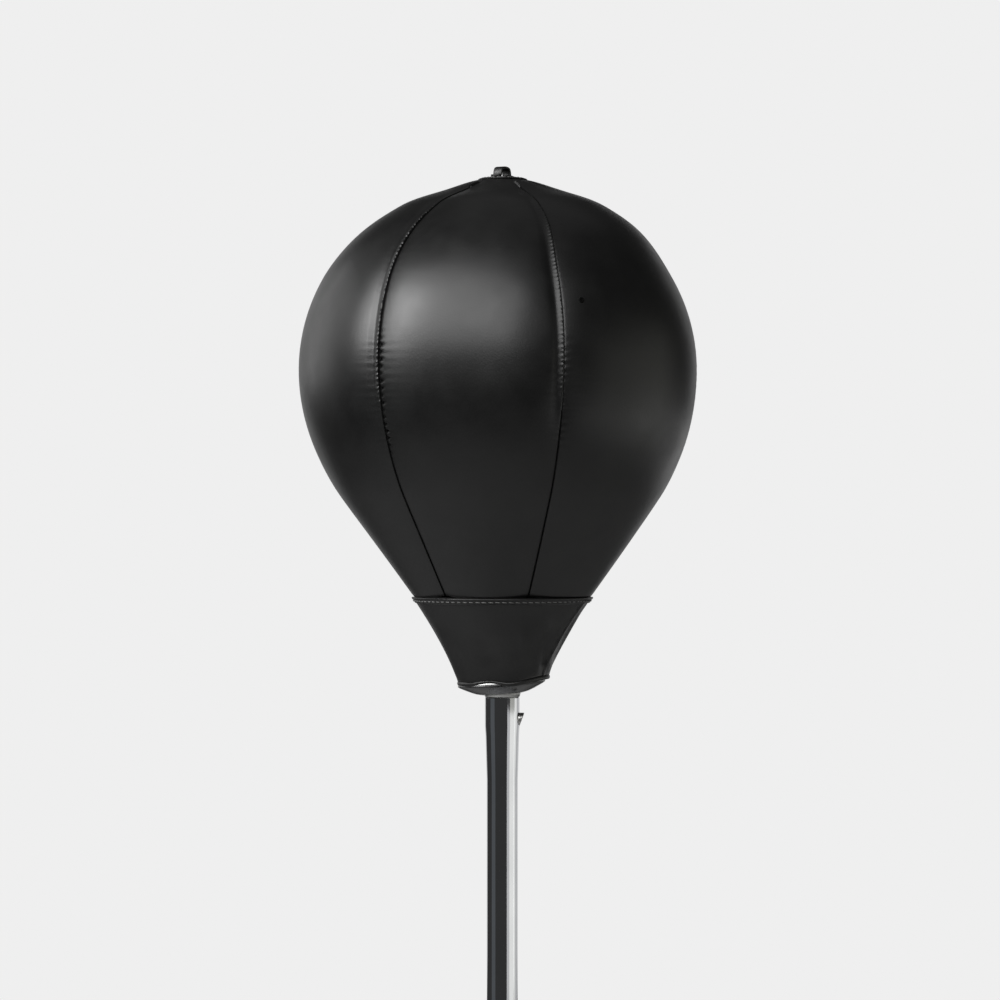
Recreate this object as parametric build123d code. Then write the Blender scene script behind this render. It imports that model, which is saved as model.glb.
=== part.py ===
from build123d import *
import math
import os

# A free-standing speed ball. A stitched, inflated ball sits on a short coil spring hidden in
# its collar. The spring stands on a telescopic chrome pole, and the pole stands in a round
# tank that is filled with sand or water. Millimetres, +Z up, origin on the floor under the pole.

# --- driving dimensions: ball and collar ---
BALL_RADIUS = 123.5
BALL_CROWN = 118.5  # from the widest level up to the top
LOWER_ARC_RADIUS = 136.0  # the ball's side below its widest level
CONE_ANGLE = 35.5  # where that arc runs out into a straight cone, from vertical
SEAM_DROP = 140.2  # from the widest level down to the collar seam
COLLAR_HEIGHT = 51.8
COLLAR_END_RADIUS = 28.5
COLLAR_HOLLOW = 2.4  # how far the collar's side curves in from straight
LEATHER = 1.6
GORE_COUNT = 6
FIRST_SEAM = -69.5  # degrees about +Z from +X
GORE_TOP_RADIUS = 4.0
BLADDER_WALL = 1.0
SKIN_GAP = 0.3

# --- driving dimensions: heights ---
HEM_LEVEL = 1089.0  # lower end of the collar
BASE_TOP = 150.0

# --- driving dimensions: spring ---
WIRE = 5.5
SPRING_OUTER = 40.0
SPRING_PITCH = 5.75
SPRING_TURNS = 10.0

# --- driving dimensions: poles ---
UPPER_RADIUS = 9.525  # 19.05 mm tube
LOWER_RADIUS = 11.1  # 22.2 mm tube
TUBE_WALL = 1.2
UPPER_BOTTOM = 330.0
SWAGE_RADIUS = 10.65  # the upper tube's widened top
SWAGE_LOW = 1028.0
SWAGE_HIGH = 1061.0
LOWER_BOTTOM = 20.0
LOWER_TOP = 640.0

# --- driving dimensions: tank ---
TANK_RADIUS = 210.0
TANK_WALL = 3.0
TANK_BOTTOM = 4.0
FILLER_OFFSET = 130.0  # from the pole's axis, towards -Y
FILLER_RADIUS = 17.0

# --- worked-out levels and radii ---
SEAM_LEVEL = HEM_LEVEL + COLLAR_HEIGHT
BALL_LEVEL = SEAM_LEVEL + SEAM_DROP
BALL_TOP = BALL_LEVEL + BALL_CROWN
COIL_RADIUS = (SPRING_OUTER - WIRE) / 2
SEAT_FOOT = HEM_LEVEL - 7.1
SPRING_FOOT = HEM_LEVEL - 0.7
SPRING_HEIGHT = SPRING_PITCH * SPRING_TURNS
SPRING_TOP = SPRING_FOOT + SPRING_HEIGHT + WIRE
CORE_RADIUS = SPRING_OUTER / 2 - WIRE - 0.2
UPPER_BORE = UPPER_RADIUS - TUBE_WALL
LOWER_BORE = LOWER_RADIUS - TUBE_WALL


def save(node, shape):
    """Writes one node's solid, or its group of separate solids."""
    solids = shape.solids()
    out = solids[0] if len(solids) == 1 else Compound(children=list(solids))
    export_step(out, f"parts/{node}.step")


def turned(outline, arc=360.0, start=0.0):
    """Turns an outline, or a closed list of (radius, height) points, about +Z."""
    face = outline if isinstance(outline, (Face, Sketch)) else make_face(Polyline(*outline, close=True))
    solid = revolve(Plane.XZ * face, Axis.Z, revolution_arc=arc)
    return Rot(0, 0, start) * solid


def rod(radius, low, high):
    return Pos(0, 0, low) * Cylinder(radius, high - low, align=(Align.CENTER, Align.CENTER, Align.MIN))


def tube(outer, inner, low, high):
    return rod(outer, low, high) - rod(inner, low - 1, high + 1)


def facing(azimuth, radius, level, shape):
    """Stands a shape made along +Z at a radius and level, pointing away from the pole."""
    return Rot(0, 0, azimuth) * Pos(radius, 0, level) * Rot(0, 90, 0) * shape


def around(shape, count, first=0.0):
    return [Rot(0, 0, first + 360.0 * i / count) * shape for i in range(count)]


# --- ball cover ---


def ball_edge(inset):
    """The ball's side from its top to the collar seam, set in by a skin's thickness."""
    centre = (0, BALL_LEVEL)
    side_centre = (BALL_RADIUS - LOWER_ARC_RADIUS, BALL_LEVEL)
    top = EllipticalCenterArc(centre, BALL_RADIUS - inset, BALL_CROWN - inset, 0, arc_size=90)
    side = CenterArc(side_centre, LOWER_ARC_RADIUS - inset, -CONE_ANGLE, CONE_ANGLE)
    run_out = side @ 0
    drop = run_out.Y - SEAM_LEVEL
    foot = (run_out.X - drop * math.tan(math.radians(CONE_ANGLE)), SEAM_LEVEL)
    return top, side, Line(foot, run_out)


def ball_section(inset, floor=SEAM_LEVEL):
    """The filled half-section of the ball, cut off at a level."""
    top, side, cone = ball_edge(inset)
    foot = cone @ 0
    base = Line((0, SEAM_LEVEL), foot)
    axis = Line(top @ 1, (0, SEAM_LEVEL))
    whole = make_face([top, side, cone, base, axis])
    above = Pos(0, floor) * Rectangle(2 * BALL_RADIUS, 3 * BALL_CROWN, align=(Align.MIN, Align.MIN))
    return whole & above


def seam_radius():
    return (ball_edge(0)[2] @ 0).X


def gore_panels():
    skin = ball_section(0) - ball_section(LEATHER)
    outside_hole = Pos(GORE_TOP_RADIUS, 0) * Rectangle(
        2 * BALL_RADIUS, 2 * BALL_TOP, align=(Align.MIN, Align.MIN)
    )
    section = skin & outside_hole
    width = 360.0 / GORE_COUNT
    panels = [turned(section, width, FIRST_SEAM + width * i) for i in range(GORE_COUNT)]
    panels[0] -= valve_place(Cylinder(VALVE_RADIUS + 0.2, 40))
    return panels


# --- inflation valve ---

VALVE_AZIMUTH = -63.6
VALVE_TILT = 21.5  # above the widest level, seen from the ball's centre
VALVE_RADIUS = 2.3
NEEDLE_RADIUS = 0.8


def valve_place(shape):
    """Stands a shape made along +Z on the ball's skin, pointing outwards."""
    tilt = math.radians(VALVE_TILT)
    out = BALL_RADIUS * math.cos(tilt)
    up = BALL_CROWN * math.sin(tilt)
    return Rot(0, 0, VALVE_AZIMUTH) * Pos(out, 0, BALL_LEVEL + up) * Rot(0, 90 - VALVE_TILT, 0) * shape


def inflation_valve():
    """Rubber plug through cover and bladder, with a flange inside and a blind needle hole."""
    stem = rod(VALVE_RADIUS, -14, -0.3)
    flange = rod(7.0, -6.0, -4.6)
    needle = rod(NEEDLE_RADIUS, -11, 1)
    return valve_place(stem + flange - needle)


def bladder():
    """Closed rubber shell that fills the cover down to the seat cup."""
    inset = LEATHER + SKIN_GAP
    floor = SEAM_LEVEL + CUP_RIM_RISE + 4.0
    outer = turned(ball_section(inset, floor))
    inner = turned(ball_section(inset + BLADDER_WALL, floor + BLADDER_WALL))
    return outer - inner - valve_place(Cylinder(VALVE_RADIUS + 0.2, 40))


# --- top patch and hanging loop ---

PATCH_RADIUS = 15.0
LOOP_GAP = 10.0
LOOP_CLEAR = 4.5
LOOP_STRAP = 1.4
LOOP_WIDTH = 6.0
LOOP_CORNER = 1.2
LOOP_AZIMUTH = -30.0  # the way through the loop, from +X


def top_patch():
    """Round leather patch, domed like the ball's top, over the place where the gores meet."""
    dome = BALL_RADIUS**2 / BALL_CROWN
    half_angle = math.degrees(math.asin(PATCH_RADIUS / dome))
    centre = (0, BALL_TOP - dome)
    under = CenterArc(centre, dome + 0.05, 90 - half_angle, half_angle)
    over = CenterArc(centre, dome + 0.05 + LEATHER, 90 - half_angle, half_angle)
    ends = [Line(under @ 0, over @ 0), Line(under @ 1, over @ 1)]
    return turned(make_face([under, over, *ends]))


def hanging_loop(patch):
    """Leather strap bent into a square-shouldered loop, sewn to the patch."""
    gap = Rectangle(LOOP_GAP, LOOP_CLEAR + 4, align=(Align.CENTER, Align.MIN))
    gap = fillet(gap.vertices().group_by(Axis.Y)[-1], LOOP_CORNER)
    strap_width = LOOP_GAP + 2 * LOOP_STRAP
    strap = Rectangle(strap_width, LOOP_CLEAR + LOOP_STRAP + 4, align=(Align.CENTER, Align.MIN))
    strap = fillet(strap.vertices().group_by(Axis.Y)[-1], LOOP_CORNER + LOOP_STRAP)
    band = extrude(Plane.YZ * (strap - gap), LOOP_WIDTH / 2, both=True)
    stood = Rot(0, 0, LOOP_AZIMUTH) * Pos(0, 0, BALL_TOP + LEATHER - 4) * band
    above = stood - turned(ball_section(-LEATHER - 0.07))
    return above - patch


# --- collar ---


def collar_line(shift):
    """The collar's side, moved out by a shift."""
    top = (seam_radius() + shift, SEAM_LEVEL)
    foot = (COLLAR_END_RADIUS + shift, HEM_LEVEL)
    middle = ((top[0] + foot[0]) / 2 - COLLAR_HOLLOW, (SEAM_LEVEL + HEM_LEVEL) / 2)
    return ThreePointArc(foot, middle, top)


def collar_band(inner, outer, low, high):
    """A turned band that follows the collar's side between two shifts and two levels."""
    near, far = collar_line(inner), collar_line(outer)
    face = make_face([near, Line(near @ 1, far @ 1), far, Line(far @ 0, near @ 0)])
    slab = Pos(0, low) * Rectangle(2 * BALL_RADIUS, high - low, align=(Align.MIN, Align.MIN))
    return turned(face & slab)


def collar():
    return collar_band(-LEATHER / math.cos(math.radians(CONE_ANGLE)), 0, HEM_LEVEL, SEAM_LEVEL)


def collar_welt():
    """Stitched fold of leather on the outside, just below the seam."""
    return collar_band(0.05, 0.9, SEAM_LEVEL - 3.4, SEAM_LEVEL - 0.4)


HEM_WIDTH = 2.6
HEM_HEIGHT = 2.8


def collar_hem():
    """Rolled edge, thicker than the collar, around the collar's lower end."""
    section = RectangleRounded(HEM_WIDTH, HEM_HEIGHT, 1.2)
    return turned(Pos(COLLAR_END_RADIUS, HEM_LEVEL - HEM_HEIGHT / 2 - 0.05) * section)


# --- ball seat and spring ---

CUP_RIM_RISE = 22.0
CUP_WALL = 2.6
SEAT_BOLT_RADIUS = 4.0


def cup_rim_radius():
    """Just inside the cover, at the level of the cup's rim."""
    cone = ball_edge(LEATHER + SKIN_GAP)[2]
    return (cone @ 0).X + CUP_RIM_RISE * math.tan(math.radians(CONE_ANGLE)) - 1.0


def seat_cup():
    """Dish under the bladder. It is wider than the collar, so it holds the cover down."""
    floor = SPRING_TOP + CAP_FLANGE
    rim = SEAM_LEVEL + CUP_RIM_RISE
    edge = cup_rim_radius()
    flat = SPRING_OUTER / 2 + 2
    outline = [
        (SEAT_BOLT_RADIUS + 0.2, floor),
        (flat, floor),
        (edge, rim),
        (edge, rim + CUP_WALL),
        (flat, floor + CUP_WALL),
        (SEAT_BOLT_RADIUS + 0.2, floor + CUP_WALL),
    ]
    return turned(outline)


CAP_FLANGE = 3.0
CORE_DEPTH = 14.0


def spring_cap():
    """Steel plug in the spring's top turns, tapped for the seat bolt."""
    core = rod(CORE_RADIUS, SPRING_TOP - CORE_DEPTH, SPRING_TOP)
    flange = rod(SPRING_OUTER / 2, SPRING_TOP, SPRING_TOP + CAP_FLANGE)
    return core + flange - rod(SEAT_BOLT_RADIUS, SPRING_TOP - 20, SPRING_TOP + 5)


def hex_bolt(radius, across, head, shank):
    """Hex-headed bolt standing on its head's underside at level 0, shank downwards."""
    top = extrude(RegularPolygon(across / 2, 6, major_radius=False), head)
    return top + rod(radius, -shank, 0)


def seat_washer():
    low = SPRING_TOP + CAP_FLANGE + CUP_WALL
    return tube(12.0, SEAT_BOLT_RADIUS + 0.3, low, low + 1.6)


def seat_bolt():
    low = SPRING_TOP + CAP_FLANGE + CUP_WALL + 1.6
    return Pos(0, 0, low) * hex_bolt(SEAT_BOLT_RADIUS, 13.0, 5.3, 18.0)


def rebound_spring():
    path = Helix(SPRING_PITCH, SPRING_HEIGHT, COIL_RADIUS)
    section = Plane(path @ 0, z_dir=path % 0) * Circle(WIRE / 2)
    return Pos(0, 0, SPRING_FOOT + WIRE / 2) * sweep(section, path, is_frenet=True)


DISH_RADIUS = 28.2
DISH_RIM = HEM_LEVEL - 3.0
DISH_HOLE = 12.2
DISH_THICKNESS = 2.0
DISH_CORNER = (23.5, 1.0)  # radius, and height above the dish's foot
SEAT_FLANGE = 2.2
FLANGE_RADIUS = 26.0
SEAT_SHOULDER = 3.0
NECK_RADIUS = DISH_HOLE - 0.4


def dish_line(inset):
    """The rounded underside of the dish, from its rim in to its hole."""
    rim = (DISH_RADIUS - inset, DISH_RIM)
    corner = (DISH_CORNER[0] - inset * 0.4, SEAT_FOOT + DISH_CORNER[1] + inset)
    return ThreePointArc(rim, corner, (DISH_HOLE, SEAT_FOOT + inset))


def seat_dish():
    """Shallow painted steel dish under the spring's seat, below the collar's edge."""
    under, over = dish_line(0), dish_line(DISH_THICKNESS)
    return turned(make_face([under, over, Line(under @ 0, over @ 0), Line(under @ 1, over @ 1)]))


def spring_seat():
    """Steel plug in the spring's bottom turns. Its shoulder rests on the pole's rim."""
    core = rod(CORE_RADIUS, SPRING_FOOT, SPRING_FOOT + CORE_DEPTH)
    flange = rod(FLANGE_RADIUS, SPRING_FOOT - SEAT_FLANGE, SPRING_FOOT)
    neck = turned(
        [
            (0, SEAT_FOOT - SEAT_SHOULDER),
            (SWAGE_RADIUS, SEAT_FOOT - SEAT_SHOULDER),
            (NECK_RADIUS, SEAT_FOOT - 0.6),
            (NECK_RADIUS, SPRING_FOOT),
            (0, SPRING_FOOT),
        ]
    )
    return core + flange + neck


# --- pole top: stub, snap button and upper pole ---

STUB_RADIUS = SWAGE_RADIUS - TUBE_WALL - 0.05
STUB_BORE = 6.8
STUB_TOP = SEAT_FOOT - SEAT_SHOULDER
STUB_NOSE = 15.0
BUTTON_LEVEL = 1065.0
BUTTON_RADIUS = 4.35
BUTTON_INNER = 4.0
BUTTON_PROUD = 3.4
BUTTON_RAMP = 3.3  # how much further out the button's upper side stands than its lower side
LEAF_THICKNESS = 0.8
LEAF_WIDTH = 7.0


def button_hole(clearance):
    return facing(0, 0, BUTTON_LEVEL, rod(BUTTON_RADIUS + clearance, 2, 20))


def spring_stub():
    """Tube welded under the spring seat. It plugs into the pole and carries the snap button."""
    shell = turned(
        [
            (STUB_BORE, SWAGE_HIGH - STUB_NOSE),
            (STUB_RADIUS - 0.6, SWAGE_HIGH - STUB_NOSE),
            (STUB_RADIUS, SWAGE_HIGH),
            (STUB_RADIUS, STUB_TOP),
            (STUB_BORE, STUB_TOP),
        ]
    )
    return shell - button_hole(0.1)


def snap_button():
    """Pin with a sloping underside, so that it slides in when the stub is pushed down."""
    tip = SWAGE_RADIUS + BUTTON_PROUD
    slope = math.degrees(math.atan2(BUTTON_RAMP, 2 * BUTTON_RADIUS))
    beyond = Pos(0, 0, tip - BUTTON_RAMP / 2) * Rot(0, slope, 0) * Pos(0, 0, 10) * Box(40, 40, 20)
    pin = rod(BUTTON_RADIUS, BUTTON_INNER, tip) - beyond
    pin = fillet(pin.edges().group_by(Axis.Z)[-1], 0.6)
    return facing(0, 0, BUTTON_LEVEL, pin)


def button_spring():
    """V-shaped leaf spring inside the stub that pushes the button out."""
    fold = Pos(-1.6, 0, BUTTON_LEVEL - 17.0)
    leaf = Box(LEAF_THICKNESS, LEAF_WIDTH, 19.0, align=(Align.CENTER, Align.CENTER, Align.MIN))
    bend = Rot(90, 0, 0) * Cylinder(1.3, LEAF_WIDTH)
    front = Rot(0, 14.0, 0) * leaf
    back = Rot(0, -10.0, 0) * leaf
    return fold * (front + back + bend)


def upper_pole():
    """Chrome tube, widened at its top for the stub, with a hole for the snap button."""
    bore = UPPER_RADIUS - TUBE_WALL
    wide_bore = SWAGE_RADIUS - TUBE_WALL
    shell = turned(
        [
            (bore, UPPER_BOTTOM),
            (UPPER_RADIUS, UPPER_BOTTOM),
            (UPPER_RADIUS, SWAGE_LOW),
            (SWAGE_RADIUS, SWAGE_HIGH),
            (SWAGE_RADIUS, STUB_TOP - 0.1),
            (wide_bore, STUB_TOP - 0.1),
            (wide_bore, SWAGE_HIGH),
            (bore, SWAGE_LOW),
        ]
    )
    return shell - button_hole(0.15)


def guide_bush():
    """Nylon bush in the upper pole's lower end, running in the lower pole."""
    spigot = rod(UPPER_BORE - 0.1, UPPER_BOTTOM, UPPER_BOTTOM + 25)
    shoe = rod(LOWER_BORE - 0.12, UPPER_BOTTOM - 18, UPPER_BOTTOM)
    return spigot + shoe - rod(5.0, UPPER_BOTTOM - 20, UPPER_BOTTOM + 30)


# --- height clamp ---

CLAMP_LOW = 602.0
CLAMP_TOP = 656.0
CLAMP_RADIUS = 18.0
KNOB_LEVEL = 622.0
STUD_RADIUS = 3.9
BOSS_END = 27.0
PAD_RADIUS = 3.4
PAD_LENGTH = 4.0
KNOB_RADIUS = 20.0
KNOB_LOBES = 5
KNOB_START = BOSS_END + 6.0
KNOB_DEPTH = 16.0
PAD_FACE = UPPER_RADIUS + 0.08
PAD_END = PAD_FACE + PAD_LENGTH


def lower_pole():
    shell = tube(LOWER_RADIUS, LOWER_BORE, LOWER_BOTTOM, LOWER_TOP)
    return shell - facing(0, 0, KNOB_LEVEL, rod(STUD_RADIUS + 0.6, 5, 20))


def clamp_sleeve():
    """Moulded sleeve on the lower pole's top, with a boss for the clamp screw."""
    body = rod(CLAMP_RADIUS, CLAMP_LOW, CLAMP_TOP)
    rims = body.edges().filter_by(GeomType.CIRCLE)
    body = fillet(rims, 2.5)
    boss = facing(0, 0, KNOB_LEVEL, rod(11.0, 5, BOSS_END))
    bored = body + boss
    bored -= rod(LOWER_RADIUS + 0.03, CLAMP_LOW - 1, LOWER_TOP + 0.2)
    bored -= rod(UPPER_RADIUS + 0.15, LOWER_TOP, CLAMP_TOP + 1)
    bored -= facing(0, 0, KNOB_LEVEL, rod(STUD_RADIUS + 0.6, 5, BOSS_END))
    return bored - facing(0, 0, KNOB_LEVEL, rod(6.5, BOSS_END - 10, BOSS_END + 1))


def clamp_insert():
    """Threaded brass insert moulded into the boss."""
    return facing(0, 0, KNOB_LEVEL, tube(6.45, STUD_RADIUS + 0.1, BOSS_END - 9.9, BOSS_END + 0.6))


def clamp_pad():
    """Nylon pad on the screw's tip. It presses on the upper pole and doesn't turn."""
    return facing(0, 0, KNOB_LEVEL, rod(PAD_RADIUS, PAD_FACE, PAD_END))


def knob_stud():
    return facing(0, 0, KNOB_LEVEL, rod(STUD_RADIUS, PAD_END + 0.1, KNOB_START + 10))


def lock_knob():
    """Lobed hand knob moulded on the stud."""
    lobe = Pos(KNOB_RADIUS - 6.5, 0) * Circle(6.5)
    outline = Circle(KNOB_RADIUS - 6.0) + [Rot(0, 0, 360 / KNOB_LOBES * i) * lobe for i in range(KNOB_LOBES)]
    grip = extrude(outline, KNOB_DEPTH)
    grip = fillet(grip.faces().sort_by(Axis.Z)[-1].edges(), 2.0)
    hub = rod(9.0, -4.0, 0)
    knob = grip + hub - rod(STUD_RADIUS, -5, 10)
    return facing(0, 0, KNOB_LEVEL, Pos(0, 0, KNOB_START) * knob)


# --- tank base ---

RECESS_RADIUS = 32.0
RECESS_TOP = 17.0
POLE_SOCKET = LOWER_RADIUS + 0.15
BOLT_RADIUS = 5.0
SHOULDER_LEVEL = 118.0
SHOULDER_RADIUS = 184.0
SIDE_TOP = 92.0
BOSS_RADIUS = 40.0
BOSS_LEVEL = 132.0
FILLER_LAND = 126.0
NECK_TOP = 140.0
NECK_WALL = 4.0
FILLER_LAND_RADIUS = 31.0
WELD_LEVEL = 84.0
WELD_FLANGE = 1.6
RIB_COUNT = 8
RIB_WIDTH = 9.0
RIB_RISE = 2.6


def tank_outside():
    outline = Polyline(
        (0, TANK_BOTTOM),
        (TANK_RADIUS - 6, TANK_BOTTOM),
        (TANK_RADIUS, TANK_BOTTOM + 10),
        (TANK_RADIUS - 3, SIDE_TOP),
        (SHOULDER_RADIUS, SHOULDER_LEVEL),
        (BOSS_RADIUS + 6, BOSS_LEVEL),
        (BOSS_RADIUS - 3, BASE_TOP),
        (0, BASE_TOP),
        close=True,
    )
    face = make_face(outline)
    rounded = face.vertices().filter_by(lambda v: v.X > 1)
    return turned(fillet(rounded, 5.0))


def tank_cavity():
    """The water and sand space: the outside set in by the wall."""
    ledge = RECESS_RADIUS + TANK_WALL
    outline = Polyline(
        (0, RECESS_TOP + TANK_WALL),
        (ledge, RECESS_TOP + TANK_WALL),
        (ledge, TANK_BOTTOM + TANK_WALL),
        (TANK_RADIUS - 8, TANK_BOTTOM + TANK_WALL),
        (TANK_RADIUS - TANK_WALL, TANK_BOTTOM + 12),
        (TANK_RADIUS - 3 - TANK_WALL, SIDE_TOP - 1),
        (SHOULDER_RADIUS - 1, SHOULDER_LEVEL - TANK_WALL),
        (BOSS_RADIUS + 4, BOSS_LEVEL - TANK_WALL),
        (BOSS_RADIUS - 7, BASE_TOP - TANK_WALL),
        (0, BASE_TOP - TANK_WALL),
        close=True,
    )
    return turned(make_face(outline))


def tank_ribs():
    """Moulded ribs on the top, running out from the boss."""
    slope = (BOSS_LEVEL - SHOULDER_LEVEL) / (SHOULDER_RADIUS - BOSS_RADIUS - 6)
    inner, outer = BOSS_RADIUS + 16.0, SHOULDER_RADIUS - 10.0

    def level(radius):
        return SHOULDER_LEVEL + (SHOULDER_RADIUS - radius) * slope

    side = Polyline(
        (inner, level(inner) - 1.5),
        (outer, level(outer) - 1.5),
        (outer - 2, level(outer) + RIB_RISE),
        (inner + 2, level(inner) + RIB_RISE),
        close=True,
    )
    rib = extrude(Plane.XZ * make_face(side), RIB_WIDTH / 2, both=True)
    rib = fillet(rib.edges().filter_by(Axis.Z, reverse=True).group_by(Axis.Z)[-1], 1.2)
    return around(rib, RIB_COUNT, 180.0 / RIB_COUNT)


def at_filler(shape):
    return Pos(0, -FILLER_OFFSET, 0) * shape


def tank_shell():
    """The whole tank, open only at its filler neck and around the pole."""
    solid = tank_outside() + tank_ribs()
    solid += at_filler(rod(FILLER_LAND_RADIUS, SHOULDER_LEVEL - 2, FILLER_LAND))
    solid += at_filler(rod(FILLER_RADIUS + NECK_WALL, SHOULDER_LEVEL - 2, NECK_TOP))
    solid -= tank_cavity()
    solid -= at_filler(rod(FILLER_RADIUS, SHOULDER_LEVEL - 10, NECK_TOP + 1))
    solid -= rod(POLE_SOCKET, LOWER_BOTTOM, BASE_TOP + 1)
    solid -= rod(BOLT_RADIUS + 0.5, TANK_BOTTOM, LOWER_BOTTOM + 1)
    return solid - rod(RECESS_RADIUS, 0, RECESS_TOP)


def weld_flange(low):
    return tube(TANK_RADIUS - 0.8, TANK_RADIUS - 4.0, low, low + WELD_FLANGE)


def base_pan(shell):
    """Moulded lower half of the tank: its floor, its side wall and the recess for the bolt."""
    below = rod(TANK_RADIUS + 10, 0, WELD_LEVEL)
    return (shell & below) + weld_flange(WELD_LEVEL - WELD_FLANGE)


def base_lid(shell):
    """Moulded upper half, welded to the pan: shoulder, ribs, boss and filler neck."""
    above = rod(TANK_RADIUS + 10, WELD_LEVEL, BASE_TOP + 10)
    return (shell & above) + weld_flange(WELD_LEVEL)


def pole_socket():
    """Tube from the pan to the lid that keeps the water off the pole."""
    return tube(POLE_SOCKET + TANK_WALL, POLE_SOCKET, RECESS_TOP + TANK_WALL, BASE_TOP - TANK_WALL)


def pole_grommet():
    """Rubber ring that closes the gap between the pole and the tank's boss."""
    return turned(
        [
            (LOWER_RADIUS + 0.05, BASE_TOP),
            (LOWER_RADIUS + 12, BASE_TOP),
            (LOWER_RADIUS + 10, BASE_TOP + 4),
            (LOWER_RADIUS + 3, BASE_TOP + 9),
            (LOWER_RADIUS + 0.05, BASE_TOP + 9),
        ]
    )


def foot_pads():
    pad = Pos(TANK_RADIUS - 32, 0, 0) * rod(15.0, 0, TANK_BOTTOM)
    return Compound(children=around(pad, 6, 30.0))


def pole_plug():
    """Tapped steel plug welded in the lower pole's end."""
    plug = rod(LOWER_BORE - 0.03, LOWER_BOTTOM + 0.1, LOWER_BOTTOM + 30)
    return plug - rod(BOLT_RADIUS, 0, LOWER_BOTTOM + 40)


def pole_washer():
    return tube(26.0, BOLT_RADIUS + 0.4, RECESS_TOP - 2.5, RECESS_TOP)


def pole_bolt():
    """Hex bolt that holds the pole down, entered from below."""
    bolt = hex_bolt(BOLT_RADIUS, 17.0, 6.4, 28.0)
    return Pos(0, 0, RECESS_TOP - 2.5) * Rot(180, 0, 0) * bolt


# --- filler cap ---

CAP_RADIUS = 26.0
CAP_SKIRT_LOW = FILLER_LAND + 1.0
GASKET = 1.5
CAP_TOP = NECK_TOP + GASKET + 4.0


def cap_gasket():
    return at_filler(tube(FILLER_RADIUS + NECK_WALL, FILLER_RADIUS, NECK_TOP, NECK_TOP + GASKET))


def filler_cap():
    """Screw cap with grip ribs around its skirt."""
    cap = rod(CAP_RADIUS - 1, CAP_SKIRT_LOW, CAP_TOP)
    cap = fillet(cap.edges().group_by(Axis.Z)[-1], 2.5)
    rib = Pos(CAP_RADIUS - 1.2, 0, 0) * rod(1.2, CAP_SKIRT_LOW, CAP_TOP - 3.5)
    cap += around(rib, 24)
    bore = rod(FILLER_RADIUS + NECK_WALL + 0.4, CAP_SKIRT_LOW - 1, NECK_TOP + GASKET)
    return at_filler(cap - bore)


os.makedirs("parts", exist_ok=True)
for number, panel in enumerate(gore_panels(), start=1):
    save(f"gore_panel_{number}", panel)
patch = top_patch()
save("top_patch", patch)
save("hanging_loop", hanging_loop(patch))
save("bladder", bladder())
save("inflation_valve", inflation_valve())
save("collar", collar())
save("collar_welt", collar_welt())
save("collar_hem", collar_hem())
save("seat_cup", seat_cup())
save("seat_washer", seat_washer())
save("seat_bolt", seat_bolt())
save("spring_cap", spring_cap())
save("rebound_spring", rebound_spring())
save("spring_seat", spring_seat())
save("seat_dish", seat_dish())
save("spring_stub", spring_stub())
save("snap_button", snap_button())
save("button_spring", button_spring())
save("upper_pole", upper_pole())
save("guide_bush", guide_bush())
save("lower_pole", lower_pole())
save("clamp_sleeve", clamp_sleeve())
save("clamp_insert", clamp_insert())
save("clamp_pad", clamp_pad())
save("knob_stud", knob_stud())
save("lock_knob", lock_knob())
tank = tank_shell()
save("base_pan", base_pan(tank))
save("base_lid", base_lid(tank))
save("pole_socket", pole_socket())
save("pole_grommet", pole_grommet())
save("foot_pads", foot_pads())
save("pole_plug", pole_plug())
save("pole_washer", pole_washer())
save("pole_bolt", pole_bolt())
save("filler_cap", filler_cap())
save("cap_gasket", cap_gasket())
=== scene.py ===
import math

import bpy
import numpy as np
from mathutils import Matrix, Vector

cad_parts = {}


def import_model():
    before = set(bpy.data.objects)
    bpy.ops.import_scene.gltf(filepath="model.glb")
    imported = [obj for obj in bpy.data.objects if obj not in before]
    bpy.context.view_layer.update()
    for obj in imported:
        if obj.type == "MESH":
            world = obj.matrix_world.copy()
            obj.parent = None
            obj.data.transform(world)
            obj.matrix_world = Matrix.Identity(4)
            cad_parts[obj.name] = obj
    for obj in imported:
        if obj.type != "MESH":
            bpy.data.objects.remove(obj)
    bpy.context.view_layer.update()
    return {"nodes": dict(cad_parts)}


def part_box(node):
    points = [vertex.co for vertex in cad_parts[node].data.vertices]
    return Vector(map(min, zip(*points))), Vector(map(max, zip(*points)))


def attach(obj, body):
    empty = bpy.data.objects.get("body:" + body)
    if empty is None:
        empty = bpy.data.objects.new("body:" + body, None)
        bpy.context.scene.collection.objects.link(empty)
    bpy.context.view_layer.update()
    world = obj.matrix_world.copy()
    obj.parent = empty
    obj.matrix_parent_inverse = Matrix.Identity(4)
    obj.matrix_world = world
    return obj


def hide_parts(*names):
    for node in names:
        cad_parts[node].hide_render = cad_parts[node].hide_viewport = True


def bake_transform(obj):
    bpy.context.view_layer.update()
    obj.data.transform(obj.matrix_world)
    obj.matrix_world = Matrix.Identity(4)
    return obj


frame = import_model()
TAU = 2 * math.pi

# --- ball cover, as it is designed ---
BALL_RADIUS = 0.1235
BALL_CROWN = 0.1185
LOWER_ARC_RADIUS = 0.136
CONE_ANGLE = math.radians(35.5)
SEAM_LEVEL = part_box("gore_panel_1")[0].z
BALL_LEVEL = SEAM_LEVEL + 0.1402
BALL_TOP = BALL_LEVEL + BALL_CROWN
GORE_COUNT = 6
FIRST_SEAM = math.radians(-69.5)
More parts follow.
